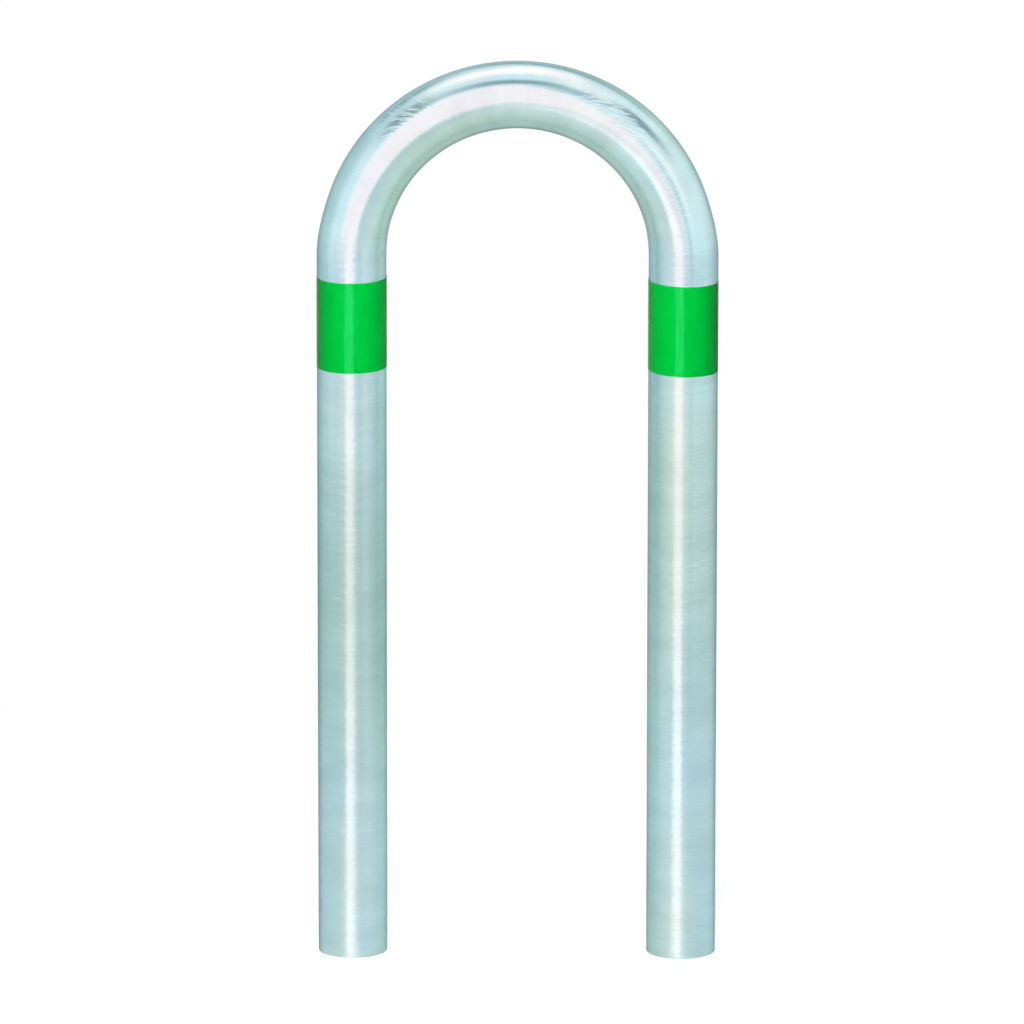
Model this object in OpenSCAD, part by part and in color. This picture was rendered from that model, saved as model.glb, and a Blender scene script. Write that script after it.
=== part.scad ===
// Hoop barrier: one round steel tube bent to an inverted U, with a film band round each leg.
// The origin lies midway between the two legs, on the ground that the cut ends stand on.
// +Z is up, +X runs from the left leg to the right one, and +Y points to the back.

/* [Tube] */
// Outside diameter of the tube
tube_d = 76.1; // [48:0.1:114]
// Wall thickness of the tube
tube_wall = 3.6; // [2:0.1:6]
// Bevel where the saw cuts at the ends are deburred, at most a third of the wall
end_bevel = 0.8; // [0.2:0.1:1.5]

/* [Hoop] */
// Height from the cut ends to the top of the bend
hoop_h = 1000; // [700:1:1300]
// Radius of the bend, measured to the middle of the tube
bend_r = 180; // [120:1:300]

/* [Film bands] */
// Width of the film strip, which is the height of each band
band_h = 100; // [40:1:150]
// Thickness of the film
film_t = 0.15; // [0.1:0.01:0.5]
// Thickness of the glue line that holds the film off the tube
glue_t = 0.05; // [0.02:0.01:0.2]
// Gap between the two ends of a strip, at the back of the leg
seam_gap = 1; // [0.5:0.1:4]
// Distance from the start of the bend down to the top of the left band
left_band_drop = 22.6; // [5:0.1:120]
// Distance from the start of the bend down to the top of the right band
right_band_drop = 25.4; // [5:0.1:120]
// Angle by which the left band is out of square with its leg
left_band_tilt = -0.3; // [-3:0.1:3]
// Angle by which the right band is out of square with its leg
right_band_tilt = 1.4; // [-3:0.1:3]

/* [Hidden] */
$fn = 96;
tube_r = tube_d / 2;
bore_r = tube_r - tube_wall;
bevel = min(end_bevel, tube_wall / 3);
leg_x = bend_r;
leg_h = hoop_h - bend_r - tube_r;
film_bore_r = tube_r + glue_t;
film_r = film_bore_r + film_t;
// Side of a block that is wide enough to cut right through a band
cutter = 2 * tube_d;

// Straight leg on the Z axis: a hollow tube, bevelled inside and out at its cut end
module straight_leg() {
    rotate_extrude()
        polygon([
            [bore_r, leg_h],
            [bore_r, bevel],
            [bore_r + bevel, 0],
            [tube_r - bevel, 0],
            [tube_r, bevel],
            [tube_r, leg_h]
        ]);
}

// Half turn of the tube in the XZ plane, from the top of the right leg over to the left one
module half_bend() {
    rotate([90, 0, 0])
        rotate_extrude(angle = 180)
            translate([bend_r, 0])
                difference() {
                    circle(r = tube_r);
                    circle(r = bore_r);
                }
}

module hoop_tube() {
    color("lightsteelblue") {
        for (side = [-1, 1])
            translate([side * leg_x, 0, 0])
                straight_leg();
        translate([0, 0, leg_h])
            half_bend();
    }
}

// One strip wrapped round a leg, its cut edges turned by tilt in the XZ plane and its seam at the back
module film_band(side, drop, tilt) {
    translate([side * leg_x, 0, leg_h - drop - band_h / 2])
        difference() {
            intersection() {
                cylinder(r = film_r, h = cutter + band_h, center = true);
                rotate([0, tilt, 0])
                    cube([cutter, cutter, band_h], center = true);
            }
            cylinder(r = film_bore_r, h = cutter + band_h, center = true);
            translate([-seam_gap / 2, 0, -(cutter + band_h) / 2])
                cube([seam_gap, cutter, cutter + band_h]);
        }
}

module reflective_band_left() {
    color("limegreen")
        film_band(-1, left_band_drop, left_band_tilt);
}

module reflective_band_right() {
    color("limegreen")
        film_band(1, right_band_drop, right_band_tilt);
}

hoop_tube();
reflective_band_left();
reflective_band_right();
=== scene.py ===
"""The hoop barrier's looks: a galvanised tube bent to an inverted U, with a green film band on each leg."""

import math

import bpy
import numpy as np
from mathutils import Matrix, Vector


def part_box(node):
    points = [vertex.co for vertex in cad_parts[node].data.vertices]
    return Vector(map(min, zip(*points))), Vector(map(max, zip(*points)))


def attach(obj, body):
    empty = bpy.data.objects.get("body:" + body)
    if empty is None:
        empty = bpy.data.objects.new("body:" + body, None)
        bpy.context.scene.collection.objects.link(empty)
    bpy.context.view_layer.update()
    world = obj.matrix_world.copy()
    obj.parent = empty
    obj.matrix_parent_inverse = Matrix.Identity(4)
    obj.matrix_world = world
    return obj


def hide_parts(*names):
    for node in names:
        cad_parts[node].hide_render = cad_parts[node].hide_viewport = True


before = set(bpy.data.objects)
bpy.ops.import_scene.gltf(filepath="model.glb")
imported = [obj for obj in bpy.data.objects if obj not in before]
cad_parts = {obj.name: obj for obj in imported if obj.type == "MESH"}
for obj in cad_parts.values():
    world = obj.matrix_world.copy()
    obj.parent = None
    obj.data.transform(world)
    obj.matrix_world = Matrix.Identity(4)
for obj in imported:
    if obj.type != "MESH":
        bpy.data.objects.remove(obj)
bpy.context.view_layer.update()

# Camera
# It stands in front of the hoop and looks down on it through a long lens. Its place, turns and lens were
# fitted to the edges of the tube and of the bands, so that they fall where the photograph shows them.
IMAGE_WIDTH_PX = 1024
FOCAL_LENGTH_PX = 12000
SENSOR_WIDTH_MM = 36.0
CAMERA_PLACE = (0.096, -12.693, 3.670)
CAMERA_YAW = math.radians(-0.459)
CAMERA_PITCH = math.radians(14.039)
CAMERA_ROLL = math.radians(0.062)

camera = bpy.data.objects.new("camera", bpy.data.cameras.new("camera"))
camera.data.sensor_width = SENSOR_WIDTH_MM
camera.data.lens = SENSOR_WIDTH_MM * FOCAL_LENGTH_PX / IMAGE_WIDTH_PX
camera.matrix_world = (
    Matrix.Translation(CAMERA_PLACE)
    @ Matrix.Rotation(-CAMERA_YAW, 4, "Z")
    @ Matrix.Rotation(math.pi / 2 - CAMERA_PITCH, 4, "X")
    @ Matrix.Rotation(CAMERA_ROLL, 4, "Z")
)
bpy.context.scene.collection.objects.link(camera)
bpy.context.scene.camera = camera

# Hoop tube
# One length of round steel tube, cold bent through half a turn, then hot-dip galvanised inside and out and
# lightly brushed round and round. Both ends are sawn square and deburred, and a weld bead runs along the
# bore at the back.
tube_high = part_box("hoop_tube")[1]
TUBE_R = tube_high.y
BEND_R = tube_high.x - TUBE_R
LEG_LENGTH = tube_high.z - BEND_R - TUBE_R
BEND_LENGTH = math.pi * BEND_R
TUBE_LENGTH = 2 * LEG_LENGTH + BEND_LENGTH
TUBE_WALL = 0.0036
BORE_R = TUBE_R - TUBE_WALL
END_ROUND = 0.0008
# The bend flattens the tube a little on its outer side and less on its inner side, growing over a short run
OUTER_FLAT = 0.058
INNER_FLAT = 0.015
FLAT_RUN = BEND_R * math.radians(17.7)
WELD_BEAD_HEIGHT = 0.0007
WELD_BEAD_WIDTH = 0.0045
# The drawn and bent surface is uneven by about a tenth of a millimetre, always inwards from the true tube.
# It is a sum of waves with these counts of lobes round the tube and with lengths in this range.
UNEVEN_DEPTH = 0.00012
UNEVEN_LOBES = (0, 1, 1, 2, 2, 3)
UNEVEN_LENGTHS = (0.07, 0.24)
UNEVEN_SEED = 7
SIDES = 112
LEG_STEP = 0.0065
BEND_STEP = 0.0025
BORE_STEP = 0.011
END_POINTS = 5


def ease(x):
    """Smooth step from 0 to 1: 3 x^2 - 2 x^3, held at its ends."""
    x = np.clip(x, 0, 1)
    return x * x * (3 - 2 * x)


def in_bend(along):
    """How fully a section lies in the bend: ease(into / FLAT_RUN) * ease((BEND_LENGTH - into) / FLAT_RUN), 0
    on the legs and 1 in most of the bend, where into is its length past the left end of the bend."""
    into = along - LEG_LENGTH
    return ease(into / FLAT_RUN) * ease((BEND_LENGTH - into) / FLAT_RUN)


def middle_line(along):
    """Point and outward direction of the tube's middle line at a length from the left foot: straight up the
    left leg, then half a turn of radius BEND_R, then straight down the right leg. Outward is away from the
    centre of the bend."""
    turn = np.clip((along - LEG_LENGTH) / BEND_R, 0, math.pi)
    below = np.maximum(LEG_LENGTH - along, 0) + np.maximum(along - LEG_LENGTH - BEND_LENGTH, 0)
    zero = np.zeros_like(turn)
    point = np.stack([-BEND_R * np.cos(turn), zero, LEG_LENGTH + BEND_R * np.sin(turn) - below], -1)
    outward = np.stack([-np.cos(turn), zero, np.sin(turn)], -1)
    return point, outward


def unevenness(along, around):
    """Depth of the skin below the true tube: a sum of slow waves, each a cosine of a length along and a
    count of lobes around the tube, scaled to lie between 0 and UNEVEN_DEPTH."""
    rng = np.random.default_rng(UNEVEN_SEED)
    waves = np.zeros(np.broadcast(along, around).shape)
    for lobes in UNEVEN_LOBES:
        wavelength = rng.uniform(*UNEVEN_LENGTHS)
        shift, twist = rng.uniform(0, 2 * math.pi, 2)
        wave = np.cos(2 * math.pi * along / wavelength + shift) * np.cos(lobes * around + twist)
        waves += wave / len(UNEVEN_LOBES)
    return UNEVEN_DEPTH * (0.5 + 0.5 * waves)


def wall_outline():
    """Closed outline of the tube's wall, opened out flat, as lengths along and radii: up the outside of the
    wall from the left foot to the right, round the right foot's two edges, back along the bore and round
    the left foot's two edges."""
    edge = END_ROUND * (1 - np.cos(np.linspace(0, math.pi / 2, END_POINTS)))
    back = END_ROUND * (1 - np.sin(np.linspace(0, math.pi / 2, END_POINTS)))
    leg = np.linspace(END_ROUND, LEG_LENGTH, round(LEG_LENGTH / LEG_STEP))
    bend = LEG_LENGTH + np.linspace(0, BEND_LENGTH, round(BEND_LENGTH / BEND_STEP))[1:-1]
    bore = np.linspace(END_ROUND, TUBE_LENGTH - END_ROUND, round(TUBE_LENGTH / BORE_STEP))
    skin = np.concatenate([leg, bend, TUBE_LENGTH - leg[::-1]])
    along = [skin[1:-1], TUBE_LENGTH - back, TUBE_LENGTH - back[::-1], bore[-2:0:-1], back, back[::-1]]
    radius = [
        np.full(len(skin) - 2, TUBE_R),
        TUBE_R - edge,
        BORE_R + edge[::-1],
        np.full(len(bore) - 2, BORE_R),
        BORE_R + edge,
        TUBE_R - edge[::-1],
    ]
    return np.concatenate(along), np.concatenate(radius)


def grid_faces(rows, columns, close_rows=True, close_columns=True):
    """Quads of a grid of points, row after row. A closed direction joins its last line to its first."""
    row = np.arange(rows if close_rows else rows - 1)[:, None]
    column = np.arange(columns if close_columns else columns - 1)[None, :]
    next_row, next_column = (row + 1) % rows, (column + 1) % columns
    corners = [row * columns + column, next_row * columns + column]
    corners += [next_row * columns + next_column, row * columns + next_column]
    return np.stack(np.broadcast_arrays(*corners), -1).reshape(-1, 4)


def new_mesh(name, points, faces, caps=()):
    """A smooth-shaded object at the origin, from arrays of points and of quads, and any extra caps."""
    mesh = bpy.data.meshes.new(name)
    mesh.from_pydata(points.reshape(-1, 3).tolist(), [], faces.tolist() + [list(cap) for cap in caps])
    mesh.polygons.foreach_set("use_smooth", np.ones(len(mesh.polygons), bool))
    mesh.update()
    made = bpy.data.objects.new(name, mesh)
    bpy.context.scene.collection.objects.link(made)
    return made


def give_attribute(piece, name, values):
    """Writes one number or one vector for each point of a piece as a named attribute."""
    kind, field = ("FLOAT", "value") if values.ndim == 1 else ("FLOAT_VECTOR", "vector")
    stored = piece.data.attributes.new(name, kind, "POINT")
    stored.data.foreach_set(field, values.astype(np.float32).ravel())


def give_uv(piece, around, along):
    """Writes a UV map from the turns around and the lengths along of each face's corners."""
    layer = piece.data.uv_layers.new(name="round_and_along")
    layer.data.foreach_set("uv", np.stack([around, along], -1).astype(np.float32).ravel())


def make_hoop():
    """The tube's skin, ends and bore as one closed surface. A point is the middle line's point, plus its
    radius times cos(around) outward, less the bend's flattening, plus its radius times sin(around) to the
    back."""
    along, radius = wall_outline()
    around = math.pi / 2 + 2 * math.pi * np.arange(SIDES) / SIDES
    point, outward = middle_line(along)
    cos, sin = np.cos(around)[None, :], np.sin(around)[None, :]
    is_skin = ease((radius - BORE_R) / TUBE_WALL)[:, None]
    reach = radius[:, None] - is_skin * unevenness(along[:, None], around[None, :])
    from_bead = (np.remainder(around - math.pi / 2 + math.pi, 2 * math.pi) - math.pi) * BORE_R
    bead = WELD_BEAD_HEIGHT * np.exp(-((from_bead / (WELD_BEAD_WIDTH / 2)) ** 2))
    reach = reach - (1 - is_skin) * bead[None, :]
    flat = np.where(cos > 0, OUTER_FLAT, INNER_FLAT) * in_bend(along)[:, None]
    place = point[:, None] + (reach * cos * (1 - flat))[..., None] * outward[:, None]
    place[..., 1] += reach * sin
    faces = grid_faces(len(along), SIDES)
    hoop = new_mesh("hoop_tube_skin", place, faces)
    section = radius[:, None]
    straight = np.stack(np.broadcast_arrays(section * cos, section * sin, along[:, None]), -1)
    give_attribute(hoop, "straight_place", straight.reshape(-1, 3))
    give_attribute(hoop, "in_bend", np.repeat(in_bend(along), SIDES))
    give_attribute(hoop, "in_bore", np.repeat(1 - is_skin[:, 0], SIDES))
    row, column = faces // SIDES, faces % SIDES
    closes_turn = (column == 0) & (column.max(-1, keepdims=True) > 1)
    give_uv(hoop, np.where(closes_turn, SIDES, column) / SIDES, along[row] / TUBE_LENGTH)
    return hoop


def add_node(tree, kind, inputs=None, **settings):
    """A node with its settings, its inputs filled with plain values or linked to other nodes' outputs."""
    made = tree.nodes.new(kind)
    for key, value in settings.items():
        setattr(made, key, value)
    for key, value in (inputs or {}).items():
        if isinstance(value, bpy.types.NodeSocket):
            tree.links.new(value, made.inputs[key])
        else:
            made.inputs[key].default_value = value
    return made


def object_place(tree):
    """The point's own place on its piece, in metres."""
    return add_node(tree, "ShaderNodeTexCoord").outputs["Object"]


def axes_of(tree, vector):
    """The three outputs X, Y and Z of a vector."""
    return add_node(tree, "ShaderNodeSeparateXYZ", {0: vector}).outputs


def length_of(tree, vector):
    """How long a vector is."""
    return add_node(tree, "ShaderNodeVectorMath", {0: vector}, operation="LENGTH").outputs["Value"]


def noise(tree, place, per_metre, detail=2.0, roughness=0.5, seed=0.0):
    """Noise from about 0 to 1, with so many features a metre along each axis of the place."""
    inputs = {"Vector": place, "Scale": per_metre, "Location": (seed,) * 3}
    scaled = add_node(tree, "ShaderNodeMapping", inputs)
    inputs = {"Vector": scaled.outputs[0], "Scale": 1.0, "Detail": detail, "Roughness": roughness}
    return add_node(tree, "ShaderNodeTexNoise", inputs).outputs["Fac"]


def between(tree, value, low, high, to_low=0.0, to_high=1.0):
    """A smooth step of a value: to_low at low, to_high at high."""
    inputs = {"Value": value, "From Min": low, "From Max": high, "To Min": to_low, "To Max": to_high}
    return add_node(tree, "ShaderNodeMapRange", inputs, interpolation_type="SMOOTHSTEP").outputs["Result"]


# Most of a noise lies in this range
NOISE_RANGE = (0.3, 0.7)


def swayed(tree, noise_value, share):
    """A noise turned to a sway from minus a share to plus a share."""
    return between(tree, noise_value, *NOISE_RANGE, -share, share)


def calculate(tree, operation, first, second=0.0):
    """One step of arithmetic."""
    return add_node(tree, "ShaderNodeMath", {0: first, 1: second}, operation=operation).outputs[0]


def multiplied(tree, first, second):
    """The product of two values."""
    return calculate(tree, "MULTIPLY", first, second)


def added(tree, total, *values):
    """The sum of two or more values."""
    for value in values:
        total = calculate(tree, "ADD", total, value)
    return total


def mixed(tree, factor, first, second, blend="MIX"):
    """The first colour mixed with the second by a factor."""
    made = add_node(tree, "ShaderNodeMix", {"Factor": factor}, data_type="RGBA", blend_type=blend)
    for socket, value in ((made.inputs[6], first), (made.inputs[7], second)):
        if isinstance(value, bpy.types.NodeSocket):
            tree.links.new(value, socket)
        else:
            socket.default_value = (*value, 1.0)
    return made.outputs[2]


def relief(tree, height, depth=1.0):
    """The normal of a surface raised by a height times a depth, in metres."""
    inputs = {"Height": height, "Strength": 1.0, "Distance": depth}
    return add_node(tree, "ShaderNodeBump", inputs).outputs["Normal"]


def new_material(name):
    """An empty node material with its output, and its node tree."""
    material = bpy.data.materials.new(name)
    material.use_nodes = True
    material.node_tree.nodes.clear()
    return material, material.node_tree, add_node(material.node_tree, "ShaderNodeOutputMaterial")


ZINC_BLUE = (0.55, 0.785, 0.865)
ZINC_GREEN = (0.60, 0.79, 0.75)
ZINC_GREY = (0.62, 0.82, 0.84)
# The darker, greener zinc half way up the left leg and the right one
ZINC_MID_LEG = ((0.44, 0.655, 0.625), (0.52, 0.73, 0.69))
ZINC_DULL = (0.30, 0.36, 0.37)
ZINC_EDGE = (0.45, 0.52, 0.52)
# Features a metre, twice across the tube and once along it: patches of blue and green, patches of grey, the
# brush lines and where they are strong, light and dark mottling, and the unevenness of the zinc
PATCHES = (16, 16, 7)
GREY_PATCHES = (12, 12, 5)
BRUSH_LINES = (22, 22, 620)
BRUSHED_PATCHES = (30, 30, 26)
MOTTLING = (14, 14, 30)
UNEVEN_ZINC = (60, 60, 170)
# How far the patches sway between blue and green, and how green the tube is on its outer side and, on the
# legs and in the bend, on its inner side, where the extra green is a painted reflection of the green films
PATCH_SHARE = 0.35
OUTER_GREEN = 0.25
INNER_PAINTED_GREENS = (0.5, 0.9)
GREY_RANGE = (0.42, 0.68)
GREY_SHARE = 0.5
# Places across the tube where its inner side begins and is full, as shares of the radius from 1 outward to
# -1 inward: for its painted green reflection, its painted lighter or darker shade in the bend, and its
# roughness
PAINTED_GREEN_SIDE = (0, -0.6)
PAINTED_SHADE_SIDE = (0.05, -0.28)
ROUGH_SIDE = (-0.2, -0.7)
LINE_TONE = 0.06
LINE_TONE_IN_BEND = 0.6
MOTTLED_TONE = 0.05
LEG_ROUGHNESS = 0.23
BEND_ROUGHNESS = 0.17
PATCH_ROUGHNESS = 0.03
INNER_ROUGHNESS = 0.32
INNER_ROUGHNESS_ON_LEGS = 0.8
BORE_ROUGHNESS = 0.6
BRUSH_DIRECTION = 0.25
BRUSHED = 0.8
# Half way up the legs the zinc is darker, greener and rougher, at these heights on the left leg and on the
# right one, in this share and over this half height
MID_LEG_HEIGHTS = (0.40, 0.48)
MID_LEG_REACH = 0.30
MID_LEG_SHARE = 0.8
MID_LEG_ROUGHNESS = 0.04
# Painted light: the legs are brighter than the bend, below the film more than above it, and change behind
# the film
LEG_LIGHT_ABOVE_FILM = 1.09
LEG_LIGHT_BELOW_FILM = 1.12
FILM_HEIGHT = (0.66, 0.76)
# Painted light and shade on the inner side of the bend: its shoulders are brighter and its crown darker by
# these shares, with the change between them at these heights
SHOULDER_PAINTED_LIGHT = 0.13
CROWN_PAINTED_SHADE = 0.06
CROWN_HEIGHT = (0.885, 0.935)
# Depths of the relief: the brush lines on the legs and on the bend, and the slow unevenness of the zinc low
# on the legs, high on the legs and on the bend, with the change on the legs between these heights
LEG_LINE_DEPTH = 0.000005
BEND_LINE_DEPTH = 0.00002
LEG_ZINC_DEPTHS = (0.0005, 0.00022)
LEG_ZINC_HEIGHT = (0.42, 0.66)
BEND_ZINC_DEPTH = 0.00008
# Groups of strokes that a tool left on the bend: the length along the tube and the angle round it, 0
# outward and -90 in front, half the length and half the width of the group, the strokes' turn out of the
# tube's direction, how many there are a metre, and their depth
STROKES = (
    ((0.855, -57), (0.060, 0.009), -50, 480, 0.00006),
    ((0.945, -50), (0.040, 0.013), -38, 340, 0.00018),
    ((0.938, -20), (0.040, 0.010), -62, 380, 0.00012),
    ((1.166, -64), (0.050, 0.016), 25, 320, 0.00024),
    ((1.265, -76), (0.080, 0.009), 65, 480, 0.00008),
)
STROKE_LENGTH = 0.030
STROKE_RANGE = (0.46, 0.62)
STROKE_FADE = 0.3
STROKE_ROUGHNESS = 0.12
STROKE_PAINTED_LIGHT = 0.10
# Marks of this depth and more have the full roughness and the full painted light of a stroke
STRUCK_DEPTH = 0.0001


def strokes(tree, unrolled, centre, half_size, turn, per_metre, depth):
    """Parallel scratches inside a soft oval on the unrolled tube, as a height in metres."""
    along, angle = centre
    inputs = {"Vector": unrolled, "Location": (along, math.pi * TUBE_R * (1 + (angle + 90) / 180), 0)}
    scaled = add_node(tree, "ShaderNodeMapping", inputs, vector_type="TEXTURE")
    scaled.inputs["Scale"].default_value = (*half_size, 1)
    drawn = add_node(tree, "ShaderNodeMapping", inputs, vector_type="TEXTURE")
    drawn.inputs["Rotation"].default_value = (0, 0, math.radians(turn))
    drawn.inputs["Scale"].default_value = (STROKE_LENGTH, 1 / per_metre, 1)
    inputs = {"Vector": drawn.outputs[0], "Scale": 1.0, "Detail": 2.0}
    grain = add_node(tree, "ShaderNodeTexNoise", inputs).outputs["Fac"]
    scratches = between(tree, grain, *STROKE_RANGE, 0, depth)
    return multiplied(tree, scratches, between(tree, length_of(tree, scaled.outputs[0]), 1, STROKE_FADE))


def across_tube(tree, across, shares, at_first, at_second):
    """A smooth step across the tube, between two places given as shares of its radius."""
    return between(tree, across, *(share * TUBE_R for share in shares), at_first, at_second)


def galvanised_steel():
    """Zinc on steel: slow patches of a bluish, a greenish and a greyish cast, fine brush lines round the
    tube in its relief, and groups of scratches on the bend. The bore is dull and unbrushed. Painted light
    and shade: a green reflection of the films on the inner side, legs brighter than the bend, a bend whose
    inner side is brighter at its shoulders and darker at its crown, and lighter strokes."""
    material, tree, output = new_material("galvanised_steel")
    place = add_node(tree, "ShaderNodeAttribute", attribute_name="straight_place").outputs["Vector"]
    bend = add_node(tree, "ShaderNodeAttribute", attribute_name="in_bend").outputs["Fac"]
    bore = add_node(tree, "ShaderNodeAttribute", attribute_name="in_bore").outputs["Fac"]
    across = axes_of(tree, place)["X"]
    where = axes_of(tree, object_place(tree))

    patches = noise(tree, place, PATCHES, detail=3, seed=3.1)
    cast = noise(tree, place, GREY_PATCHES, detail=2, seed=8.6)
    # The inner side's extra green is a painted reflection of the green films
    inner = across_tube(tree, across, PAINTED_GREEN_SIDE, OUTER_GREEN, between(tree, bend, 0, 1, *INNER_PAINTED_GREENS))
    green = added(tree, swayed(tree, patches, PATCH_SHARE), inner)
    colour = mixed(tree, between(tree, green, 0, 1), ZINC_BLUE, ZINC_GREEN)
    colour = mixed(tree, between(tree, cast, *GREY_RANGE, 0, GREY_SHARE), colour, ZINC_GREY)
    # Half way up each leg the zinc is darker, greener and rougher
    mid_leg_height = between(tree, where["X"], -BEND_R, BEND_R, *MID_LEG_HEIGHTS)
    off = calculate(tree, "ABSOLUTE", calculate(tree, "SUBTRACT", where["Z"], mid_leg_height))
    mid_leg_zinc = mixed(tree, between(tree, where["X"], -BEND_R, BEND_R), *ZINC_MID_LEG)
    colour = mixed(tree, between(tree, off, 0, MID_LEG_REACH, MID_LEG_SHARE, 0), colour, mid_leg_zinc)

    turns = axes_of(tree, add_node(tree, "ShaderNodeUVMap").outputs[0])
    lengths = multiplied(tree, turns["Y"], TUBE_LENGTH), multiplied(tree, turns["X"], 2 * math.pi * TUBE_R)
    unrolled = add_node(tree, "ShaderNodeCombineXYZ", dict(enumerate(lengths))).outputs[0]
    marks = added(tree, *[strokes(tree, unrolled, *group) for group in STROKES])
    struck = between(tree, marks, 0, STRUCK_DEPTH)

    lines = noise(tree, place, BRUSH_LINES, detail=4, roughness=0.7, seed=1.7)
    brushed = noise(tree, place, BRUSHED_PATCHES, detail=2, seed=5.2)
    line_tone = multiplied(tree, swayed(tree, lines, LINE_TONE), brushed)
    line_tone = multiplied(tree, line_tone, between(tree, bend, 0, 1, 1, LINE_TONE_IN_BEND))
    mottled_tone = swayed(tree, noise(tree, place, MOTTLING, detail=3, seed=6.3), MOTTLED_TONE)
    # Painted light: the legs' zinc is brighter than the bend's, to brighten their highlights
    leg_painted_light = between(tree, where["Z"], *FILM_HEIGHT, LEG_LIGHT_BELOW_FILM, LEG_LIGHT_ABOVE_FILM)
    # Painted shade and light on the bend's inner side: darker at its crown, brighter at its shoulders
    inner_painted_shade = between(tree, where["Z"], *CROWN_HEIGHT, 1 + SHOULDER_PAINTED_LIGHT, 1 - CROWN_PAINTED_SHADE)
    inputs = {"Factor": bend, 2: leg_painted_light, 3: across_tube(tree, across, PAINTED_SHADE_SIDE, 1, inner_painted_shade)}
    painted_light_and_shade = add_node(tree, "ShaderNodeMix", inputs, data_type="FLOAT").outputs[0]
    # Painted light: the strokes are lighter in colour
    struck_painted_light = multiplied(tree, struck, STROKE_PAINTED_LIGHT)
    # The tone is random lines and mottling plus painted light and shade
    tone = added(tree, line_tone, mottled_tone, painted_light_and_shade, struck_painted_light)
    colour = mixed(tree, 1.0, colour, tone, blend="MULTIPLY")
    colour = mixed(tree, bore, colour, ZINC_DULL)

    inner_roughness = across_tube(tree, across, ROUGH_SIDE, 0, INNER_ROUGHNESS)
    rough = added(
        tree,
        between(tree, bend, 0, 1, LEG_ROUGHNESS, BEND_ROUGHNESS),
        between(tree, off, 0, MID_LEG_REACH, MID_LEG_ROUGHNESS, 0),
        swayed(tree, patches, PATCH_ROUGHNESS),
        multiplied(tree, struck, STROKE_ROUGHNESS),
        multiplied(tree, inner_roughness, between(tree, bend, 0, 1, INNER_ROUGHNESS_ON_LEGS, 1)),
        multiplied(tree, bore, BORE_ROUGHNESS - LEG_ROUGHNESS),
    )

    line_height = multiplied(tree, lines, between(tree, bend, 0, 1, LEG_LINE_DEPTH, BEND_LINE_DEPTH))
    uneven = noise(tree, place, UNEVEN_ZINC, detail=1.5, seed=4.4)
    leg_depth = between(tree, where["Z"], *LEG_ZINC_HEIGHT, *LEG_ZINC_DEPTHS)
    uneven = multiplied(tree, uneven, between(tree, bend, 0, 1, leg_depth, BEND_ZINC_DEPTH))
    tangent = add_node(tree, "ShaderNodeTangent", direction_type="UV_MAP", uv_map="round_and_along")
    metal = add_node(
        tree,
        "ShaderNodeBsdfPrincipled",
        {
            "Base Color": colour,
            "Metallic": 1.0,
            "Roughness": rough,
            "Specular Tint": (*ZINC_EDGE, 1.0),
            "Anisotropic": BRUSHED,
            "Anisotropic Rotation": BRUSH_DIRECTION,
            "Tangent": tangent.outputs[0],
            "Normal": relief(tree, added(tree, line_height, uneven, marks)),
        },
    )
    tree.links.new(metal.outputs[0], output.inputs["Surface"])
    return material


hoop_skin = make_hoop()
hoop_skin.data.materials.append(galvanised_steel())
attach(hoop_skin, "root")
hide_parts("hoop_tube")

# Film bands
# Strips of glossy green self-adhesive film, 100 mm wide, each wrapped once round a leg and butted at the
# back with a hairline gap. The right one was put on a little lower and slightly askew.
FILM_T = 0.00015
FILM_WIDTH = 0.100
SEAM_GAP = 0.001
BANDS = (
    ("reflective_band_left", math.radians(-0.3)),
    ("reflective_band_right", math.radians(1.4)),
)
FILM_SIDES = 150
FILM_ROWS = 24
FILM_EDGE_POINTS = 5


def strip_section(radius):
    """Section of the strip as radii and heights, one turn round it: down its outer face, round the lower
    edge, up its inner face and round the upper edge, where both edges are half circles as wide as the film
    is thick."""
    half = FILM_T / 2
    straight = np.linspace(FILM_WIDTH / 2 - half, -FILM_WIDTH / 2 + half, FILM_ROWS)
    bow = np.linspace(0, math.pi, FILM_EDGE_POINTS + 2)[1:-1]
    lower = np.stack([radius - half + half * np.cos(bow), straight[-1] - half * np.sin(bow)])
    upper = np.stack([radius - half - half * np.cos(bow), straight[0] + half * np.sin(bow)])
    outer = np.stack([np.full(FILM_ROWS, radius), straight])
    inner = np.stack([np.full(2, radius - FILM_T), straight[[-1, 0]]])
    return np.concatenate([outer, lower, inner, upper], 1)


def make_band(node, tilt):
    """A strip round the leg that its solid stands on: its section carried round from one side of the seam
    to the other, with heights that slope by the tangent of the tilt across the leg. Both ends are closed."""
    low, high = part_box(node)
    radius, centre_x, centre_z = high.y, (low.x + high.x) / 2, (low.z + high.z) / 2
    section_r, section_z = strip_section(radius)
    half_gap = SEAM_GAP / 2 / radius
    around = math.pi / 2 + np.linspace(half_gap, 2 * math.pi - half_gap, FILM_SIDES)
    across = section_r[None, :] * np.cos(around)[:, None]
    back = section_r[None, :] * np.sin(around)[:, None]
    up = section_z[None, :] / math.cos(tilt) - across * math.tan(tilt)
    place = np.stack([centre_x + across, back, centre_z + up], -1)
    count = len(section_r)
    faces = grid_faces(FILM_SIDES, count, close_rows=False)[:, ::-1]
    caps = [range(count), range(FILM_SIDES * count - 1, (FILM_SIDES - 1) * count - 1, -1)]
    return new_mesh(node + "_film", place, faces, caps)


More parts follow.
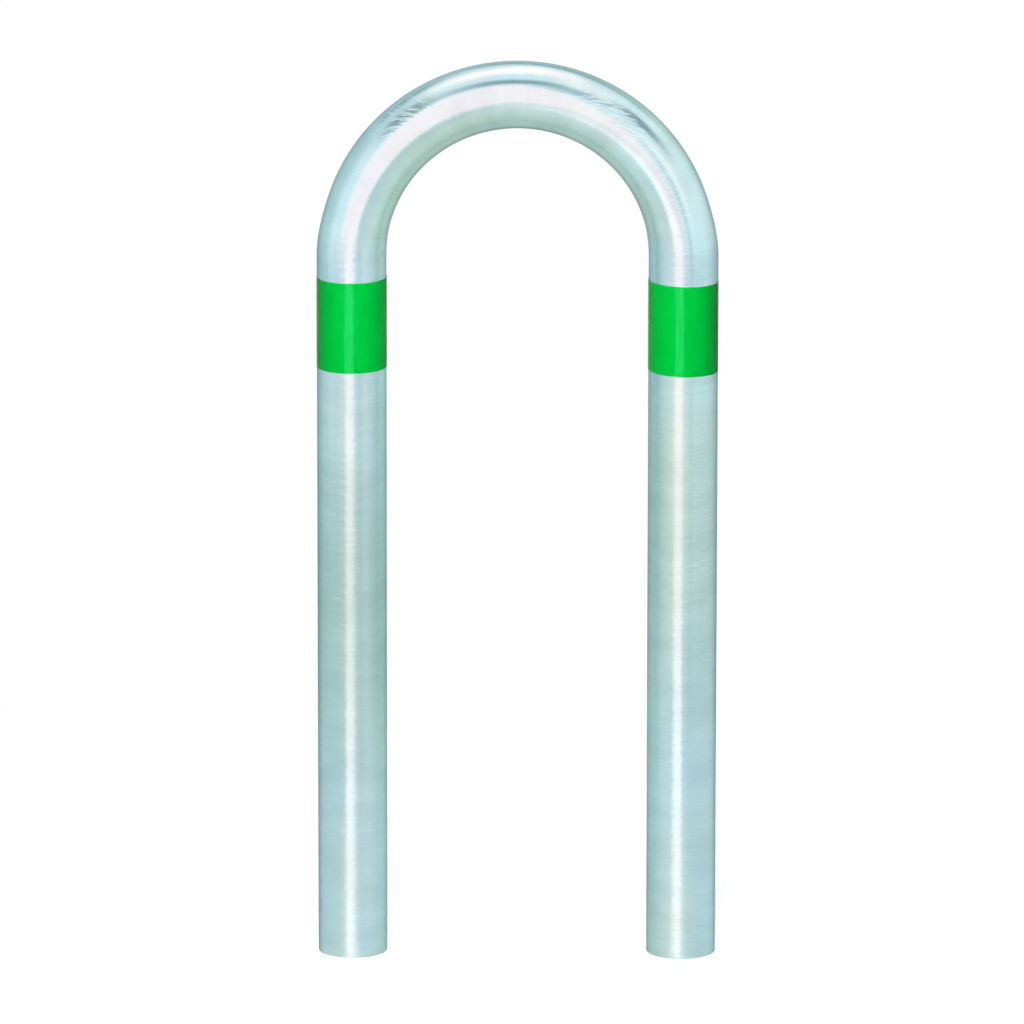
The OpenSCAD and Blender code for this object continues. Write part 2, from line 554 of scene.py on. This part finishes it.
FILM_GREEN = (0.0, 0.58, 0.052)
FILM_GLINT = (0.29, 0.65, 1.0)
FILM_ROUGHNESS = 0.16
FILM_METAL = 0.0
FILM_SHINE = 0.035
GLUE_LUMPS = (60, 60, 40)
GLUE_DEPTH = 0.00002
GLUE_TONE = 0.03


def green_film():
    """Smooth glossy film, with the faintest unevenness of the glue below it in its relief."""
    material, tree, output = new_material("green_film")
    glue = noise(tree, object_place(tree), GLUE_LUMPS, detail=1, seed=2.2)
    tone = between(tree, glue, *NOISE_RANGE, 1 - GLUE_TONE, 1 + GLUE_TONE)
    film = add_node(
        tree,
        "ShaderNodeBsdfPrincipled",
        {
            "Base Color": mixed(tree, 1.0, FILM_GREEN, tone, blend="MULTIPLY"),
            "Metallic": FILM_METAL,
            "Roughness": FILM_ROUGHNESS,
            "Specular IOR Level": FILM_SHINE,
            "Specular Tint": (*FILM_GLINT, 1.0),
            "Normal": relief(tree, glue, GLUE_DEPTH),
        },
    )
    tree.links.new(film.outputs[0], output.inputs["Surface"])
    return material


film_finish = green_film()
bands = bpy.data.collections.new("bands")
for band_node, band_tilt in BANDS:
    band = make_band(band_node, band_tilt)
    band.data.materials.append(film_finish)
    bands.objects.link(band)
    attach(band, "root")
    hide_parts(band_node)

# Studio
# A wide white floor under an even white surround, soft lamps in front, behind and above, and glowing sheets
# that only mirrors see. Far sheets make a bright soft box in front, another overhead, and dimmer light for
# the gaps between them, the sides and below. Near ones dim the sides and the back for the legs alone.
FLOOR_R = 14.0
FLOOR_MIDDLE_R = 0.05
FLOOR_RINGS = 24
FLOOR_SPOKES = 96
FLOOR_WHITE = 0.92
FLOOR_BOUNCE = 0.12
FLOOR_GLOW = 0.70
LIT_FLOOR_R = (0.5, 1.2)
SURROUND_LIGHT = 0.04
WHITE = (1, 1, 1, 1)


def seen_or_mirrored(tree):
    """1 for a ray from the camera, a mirror or a glass, and 0 for light that a matt surface gathers."""
    path = add_node(tree, "ShaderNodeLightPath").outputs
    return added(tree, path["Is Camera Ray"], path["Is Glossy Ray"], path["Is Transmission Ray"])


def surround():
    """White where it is seen or mirrored, and a plain weaker light on matt surfaces."""
    world = bpy.data.worlds.new("surround")
    bpy.context.scene.world = world
    world.use_nodes = True
    tree = world.node_tree
    tree.nodes.clear()
    strength = between(tree, seen_or_mirrored(tree), 0, 1, SURROUND_LIGHT, 1.0)
    sky = add_node(tree, "ShaderNodeBackground", {"Color": WHITE, "Strength": strength})
    output = add_node(tree, "ShaderNodeOutputWorld")
    tree.links.new(sky.outputs[0], output.inputs["Surface"])


def make_floor():
    """A flat round floor: rings of points about the origin, closed by a cap at the middle. It is clear from
    below, and plain white farther out than the object's shadow."""
    ring = np.geomspace(FLOOR_MIDDLE_R, FLOOR_R, FLOOR_RINGS)[:, None]
    turn = 2 * math.pi * np.arange(FLOOR_SPOKES) / FLOOR_SPOKES
    level = np.zeros((FLOOR_RINGS, FLOOR_SPOKES))
    place = np.stack([ring * np.cos(turn), ring * np.sin(turn), level], -1)
    faces = grid_faces(FLOOR_RINGS, FLOOR_SPOKES, close_rows=False)
    floor = new_mesh("floor", place, faces, [range(FLOOR_SPOKES)])
    material, tree, output = new_material("white_floor")
    seen = seen_or_mirrored(tree)
    colour = between(tree, seen, 0, 1, FLOOR_BOUNCE, FLOOR_WHITE)
    paper = add_node(tree, "ShaderNodeBsdfDiffuse", {"Color": colour})
    glow = add_node(tree, "ShaderNodeEmission", {"Strength": multiplied(tree, seen, FLOOR_GLOW)})
    lit = add_node(tree, "ShaderNodeAddShader", {0: paper.outputs[0], 1: glow.outputs[0]})
    white = add_node(tree, "ShaderNodeEmission", {"Color": WHITE, "Strength": 1.0})
    clear = add_node(tree, "ShaderNodeBsdfTransparent")
    distance = length_of(tree, object_place(tree))
    far = multiplied(tree, between(tree, distance, *LIT_FLOOR_R), seen)
    top = add_node(tree, "ShaderNodeMixShader", {0: far, 1: lit.outputs[0], 2: white.outputs[0]})
    below = add_node(tree, "ShaderNodeNewGeometry").outputs["Backfacing"]
    both = add_node(tree, "ShaderNodeMixShader", {0: below, 1: top.outputs[0], 2: clear.outputs[0]})
    tree.links.new(both.outputs[0], output.inputs["Surface"])
    floor.data.materials.append(material)
    floor.visible_glossy = False


SHEET_CENTRE = (0, 0, 0.6)
SHEET_CELLS = 24


def dome_patch(azimuth, elevation, half_width, half_height, turn, distance, foot):
    """Grid of points at one distance from the sheets' centre, round an azimuth, 0 in front and 90 on the
    right, and an elevation. The half sizes are the angles they are seen under, and the patch is turned
    anticlockwise, all in degrees. Toward its foot it narrows and shifts to the right by two shares of its
    width, as the square of how far down it is."""
    across, up, turn = math.radians(azimuth), math.radians(elevation), math.radians(turn)
    toward = np.array([math.sin(across) * math.cos(up), -math.cos(across) * math.cos(up), math.sin(up)])
    level = np.array([math.cos(across), math.sin(across), 0])
    upright = np.cross(level, toward)
    sideways = math.tan(math.radians(half_width)) * (math.cos(turn) * level + math.sin(turn) * upright)
    lengthways = math.tan(math.radians(half_height)) * (math.cos(turn) * upright - math.sin(turn) * level)
    spread = np.linspace(-1, 1, SHEET_CELLS + 1)
    down = np.clip(-spread, 0, 1) ** 2
    width = spread[:, None] * (1 - foot[0] * down[None, :]) + foot[1] * down[None, :]
    place = toward + width[..., None] * sideways + spread[None, :, None] * lengthways
    return SHEET_CENTRE + distance * place / np.linalg.norm(place, axis=-1, keepdims=True)


def sheet(
    distance, name, direction, half_size, turn, colour, softness, squareness=2.0, only_on=None, foot=(0, 0)
):
    """A glowing sheet that only mirrors see. It fades to clear from 1 - softness of its half size to its
    rim, whose shape is |x|^n + |y|^n = 1: an ellipse for a squareness n of 2, nearly a rectangle for 6. A
    sheet kept for one collection lets the sheets behind it through to all the rest."""
    points = SHEET_CELLS + 1
    faces = grid_faces(points, points, close_rows=False, close_columns=False)
    made = new_mesh(name, dome_patch(*direction, *half_size, turn, distance, foot), faces)
    give_uv(made, faces // points / SHEET_CELLS, faces % points / SHEET_CELLS)
    material, tree, output = new_material(name)
    where = add_node(tree, "ShaderNodeUVMap", uv_map="round_and_along")
    inputs = {0: where.outputs[0], 1: (0.5, 0.5, 0)}
    from_centre = add_node(tree, "ShaderNodeVectorMath", inputs, operation="SUBTRACT")
    axes = axes_of(tree, from_centre.outputs[0])
    sides = [calculate(tree, "ABSOLUTE", multiplied(tree, side, 2.0)) for side in (axes["X"], axes["Y"])]
    powers = added(tree, *[calculate(tree, "POWER", side, squareness) for side in sides])
    reach = calculate(tree, "POWER", powers, 1 / squareness)
    opacity = between(tree, reach, 1, 1 - softness)
    clear = add_node(tree, "ShaderNodeBsdfTransparent")
    glow = add_node(tree, "ShaderNodeEmission", {"Color": (*colour, 1.0), "Strength": 1.0})
    if only_on:
        tree.links.new(opacity, glow.inputs["Strength"])
        both = add_node(tree, "ShaderNodeAddShader", {0: clear.outputs[0], 1: glow.outputs[0]})
        made.light_linking.receiver_collection = only_on
    else:
        both = add_node(tree, "ShaderNodeMixShader", {0: opacity, 1: clear.outputs[0], 2: glow.outputs[0]})
    tree.links.new(both.outputs[0], output.inputs["Surface"])
    made.data.materials.append(material)
    for rays in ("camera", "diffuse", "transmission", "shadow", "volume_scatter"):
        setattr(made, "visible_" + rays, False)


def soft_lamp(name, place, aim, width, height, brightness):
    """A soft lamp that mirrors don't see. A matt surface fully surrounded by it would get its brightness."""
    lamp = bpy.data.objects.new(name, bpy.data.lights.new(name, "AREA"))
    lamp.data.shape = "RECTANGLE"
    lamp.data.size, lamp.data.size_y = width, height
    lamp.data.energy = brightness * math.pi * width * height
    turn = (Vector(aim) - Vector(place)).to_track_quat("-Z", "Y")
    lamp.matrix_world = Matrix.Translation(place) @ turn.to_matrix().to_4x4()
    lamp.visible_camera = False
    lamp.visible_glossy = False
    bpy.context.scene.collection.objects.link(lamp)


# Each far sheet: its name, its azimuth and elevation, its half width and half height, its turn, its colour
# and its softness, and where they aren't plain its squareness, the pieces it is kept for and the shape of
# its foot. Each lies one step farther off than the one before it, so that an earlier one covers a later one.
FAR_DISTANCE = 8.0
FAR_STEP = 0.3
FAR_SHEETS = (
    ("film_glint", (-10, -14), (17, 14), 0, (80, 50, 61), 0.25, 3.0, bands),
    ("front_box", (-14, 15), (32, 35.5), 0, (1.49, 1.08, 1.06), 0.08, 2.3, None, (0.40, 0.14)),
    ("top_gap", (-4, 60.5), (34, 14.5), 0, (0.32, 0.38, 0.40), 1.0, 2.5),
    ("right_gap", (73, 41), (20, 13), -30, (0.20, 0.27, 0.32), 0.7),
    ("right_join", (38, 47), (26, 9), -8, (0.50, 0.58, 0.60), 0.8),
    ("left_patch", (-66, 43), (26, 14), 15, (0.24, 0.33, 0.36), 0.7),
    ("hair_gap", (27, -1), (8, 20), 0, (0.72, 0.84, 0.82), 0.7),
    ("front_halo", (-14, 14), (42, 40), 0, (1.28, 1.10, 1.06), 0.4, 2.0, None, (0.40, 0.14)),
    ("right_glow", (43, 14), (15, 22), 0, (1.44, 1.15, 1.10), 0.9),
    ("leg_glow", (-10, -24), (13, 14), 0, (1.35, 1.19, 1.14), 0.6),
    ("low_glow", (-5, -18), (48, 45), 0, (1.08, 1.02, 0.99), 1.0),
    ("left_back", (-138, 36), (20, 13), 0, (0.42, 0.51, 0.51), 0.8),
    ("top_box", (-160, 72), (38, 26), 0, (1.85, 1.29, 1.24), 1.0, 2.5),
    ("top_right", (115, 70), (44, 22), 0, (1.34, 1.12, 1.04), 0.8),
    ("left_gap", (-85, 48), (42, 8), 0, (0.68, 0.75, 0.76), 0.7),
    ("back_gap", (164, 35), (42, 13), 0, (0.57, 0.63, 0.58), 0.8, 2.5),
    ("left_dim", (-118, -18), (50, 20), 0, (0.54, 0.62, 0.62), 0.9, 3.0),
    ("right_dim", (124, -14), (48, 22), 0, (0.64, 0.70, 0.68), 0.9, 3.0),
    ("left_side", (-120, 12), (48, 48), 0, (0.67, 0.77, 0.77), 0.8, 3.0),
    ("right_side", (150, 10), (36, 44), 0, (0.88, 0.92, 0.88), 0.8, 3.0),
    ("ground", (0, -90), (84, 84), 0, (0.84, 0.88, 0.81), 0.8),
)
# Three dimmer sheets, each with its distance first, stand so near that the legs mirror them and the top of
# the hoop hardly does
NEAR_SHEETS = (
    (2.1, "back_low", (180, -20), (78, 26), 0, (0.56, 0.61, 0.60), 1.0, 4.0),
    (2.2, "left_low", (-85, -27), (62, 22), 0, (0.64, 0.68, 0.68), 0.35, 4.0),
    (2.3, "right_low", (66, -27), (64, 22), 0, (0.64, 0.68, 0.68), 0.35, 4.0),
)
# Each lamp: its name, its place, what it is aimed at, its width and height, and its brightness
LAMPS = (
    ("key_lamp", (-0.3, -3.2, 1.6), (0, 0, 0.5), 1.2, 1.2, 26),
    ("back_lamp", (0.4, 3.2, 2.2), (0, 0, 0.5), 1.6, 1.6, 3),
    ("top_lamp", (0, 0, 3.6), (0, 0, 0), 3.0, 3.0, 0.4),
)

surround()
make_floor()
for layer, settings in enumerate(FAR_SHEETS):
    sheet(FAR_DISTANCE + FAR_STEP * layer, *settings)
for settings in NEAR_SHEETS:
    sheet(*settings)
for settings in LAMPS:
    soft_lamp(*settings)

bpy.context.scene.view_settings.view_transform = "Standard"
